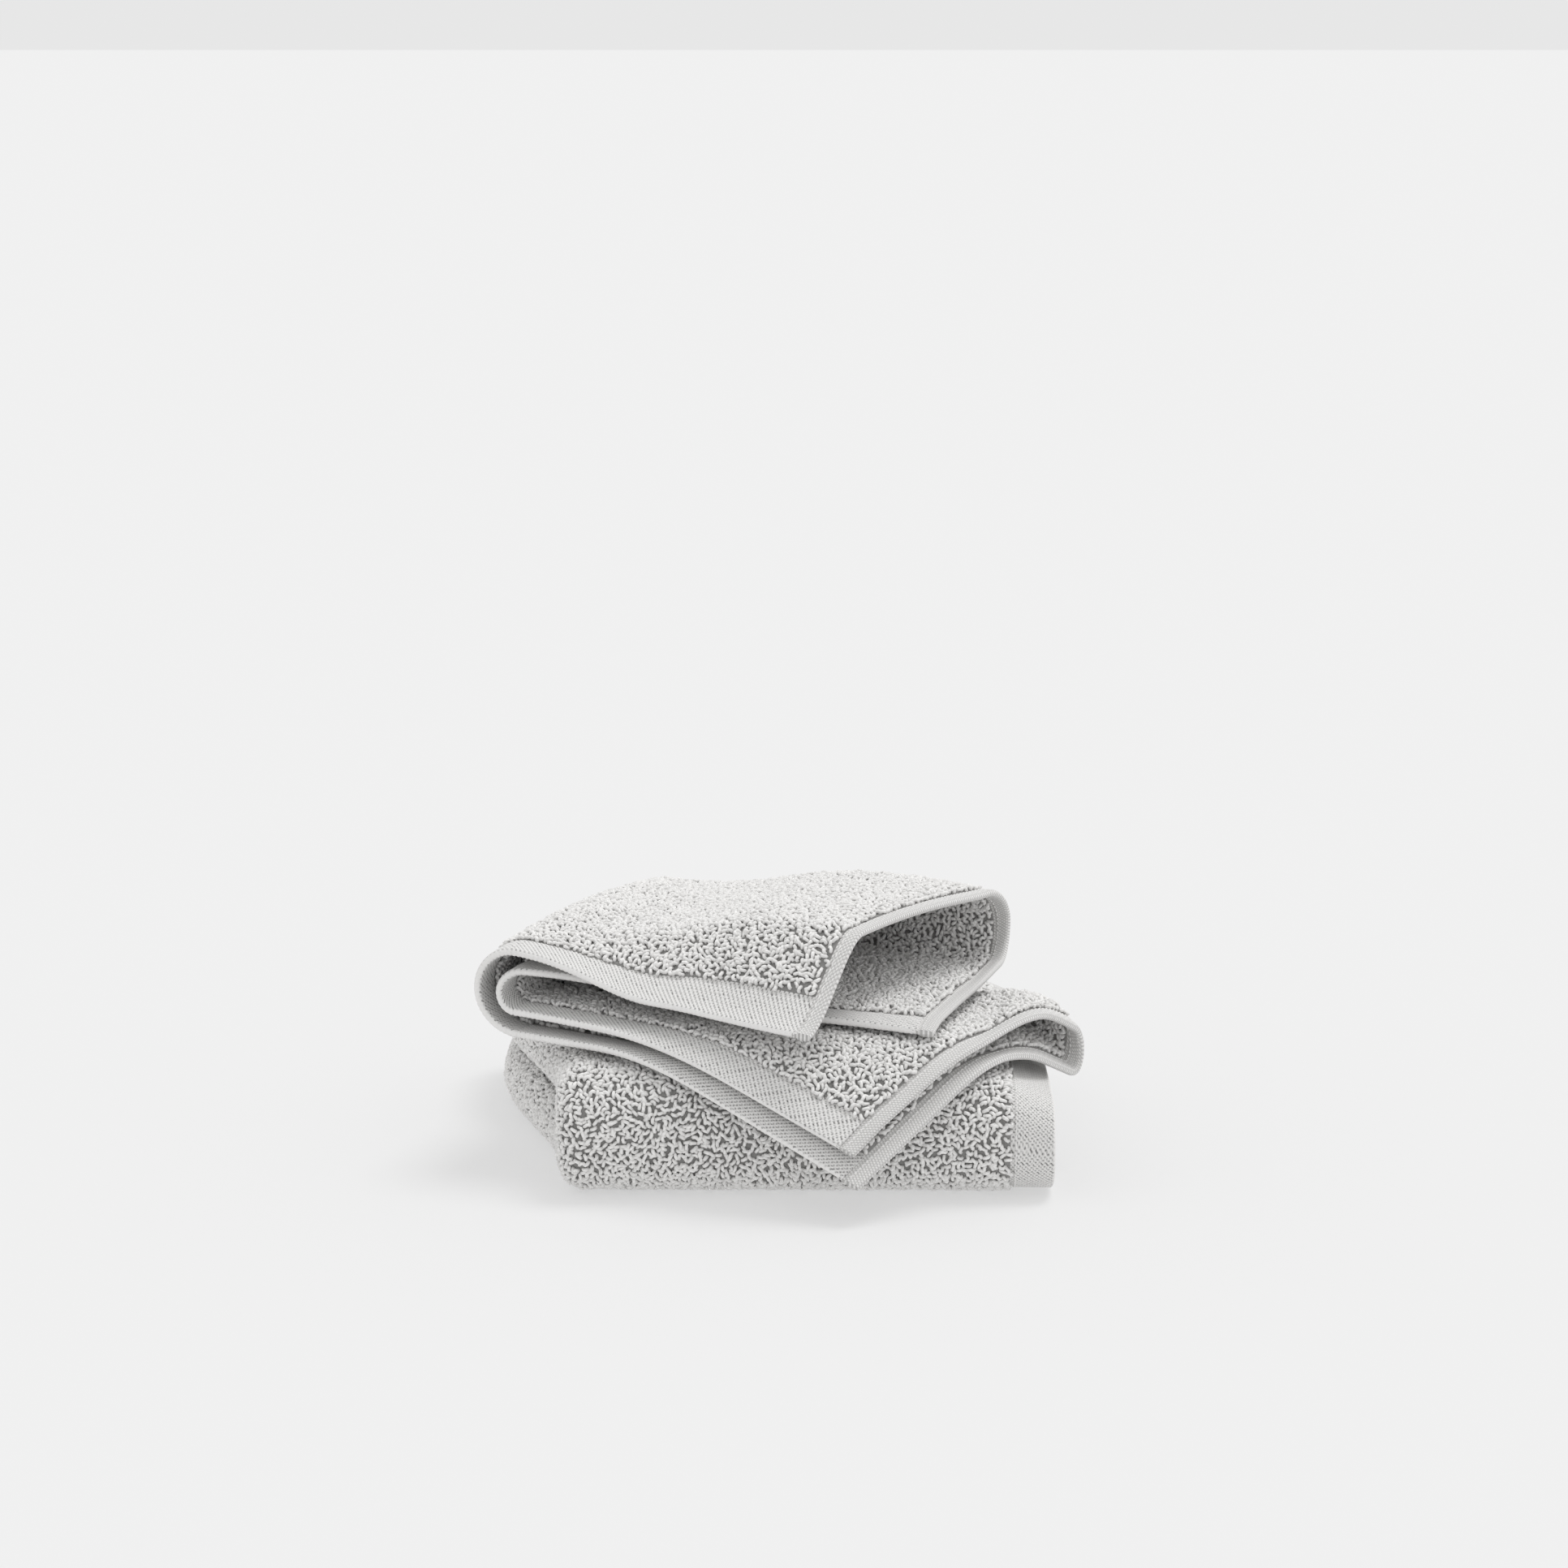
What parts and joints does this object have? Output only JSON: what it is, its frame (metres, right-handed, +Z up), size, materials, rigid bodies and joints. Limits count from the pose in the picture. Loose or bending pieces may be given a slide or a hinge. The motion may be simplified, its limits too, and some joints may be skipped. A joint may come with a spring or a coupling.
{
  "type": "bath towel set",
  "caption": "Folded terry hand towel with a face cloth folded in four on top, its free corners fanned out over the front fold.",
  "frame": {"origin": "centre of the footprint, on the surface that the hand towel rests on", "axes": "+Z up; the hand towel's front fold and the face cloth's open corners face -Y; the end borders of the hand towel are at +X"},
  "size_m": [0.2594, 0.2512, 0.1141],
  "materials": {
    "terry": "matte looped pile",
    "twill": "matte twill weave",
    "hem": "matte plain weave",
    "thread": "sewing thread"
  },
  "bodies": {
    "hand_towel": {"hand_terry": "terry", "hand_border_outer": "twill", "hand_border_inner": "twill", "hand_hem_lower": "hem", "hand_hem_upper": "hem", "hand_seam_outer": "thread", "hand_seam_inner": "thread"},
    "cloth_base": {"cloth_terry_base": "terry", "cloth_border_outer_base": "twill", "cloth_border_inner_base": "twill", "cloth_hem_base": "hem", "cloth_seam_base": "thread", "cloth_terry_spine": "terry", "cloth_border_outer_spine": "twill", "cloth_border_inner_spine": "twill"},
    "cloth_flap": {"cloth_terry_flap": "terry", "cloth_border_outer_flap": "twill", "cloth_border_inner_flap": "twill", "cloth_hem_flap": "hem", "cloth_seam_flap": "thread"}
  },
  "joints": [
    {"name": "cloth_lift", "type": "slide", "parent": "hand_towel", "child": "cloth_base", "axis": [0, 0, 1], "range_m": [0, 0.2]},
    {"name": "cloth_unfold", "type": "hinge", "parent": "cloth_base", "child": "cloth_flap", "pos_m": [-0.08165, 0.02425, 0.0807], "axis": [-0.4072, -0.9134, 0], "range_deg": [0, 175], "deforming": ["cloth_terry_spine", "cloth_border_outer_spine", "cloth_border_inner_spine"]}
  ]
}
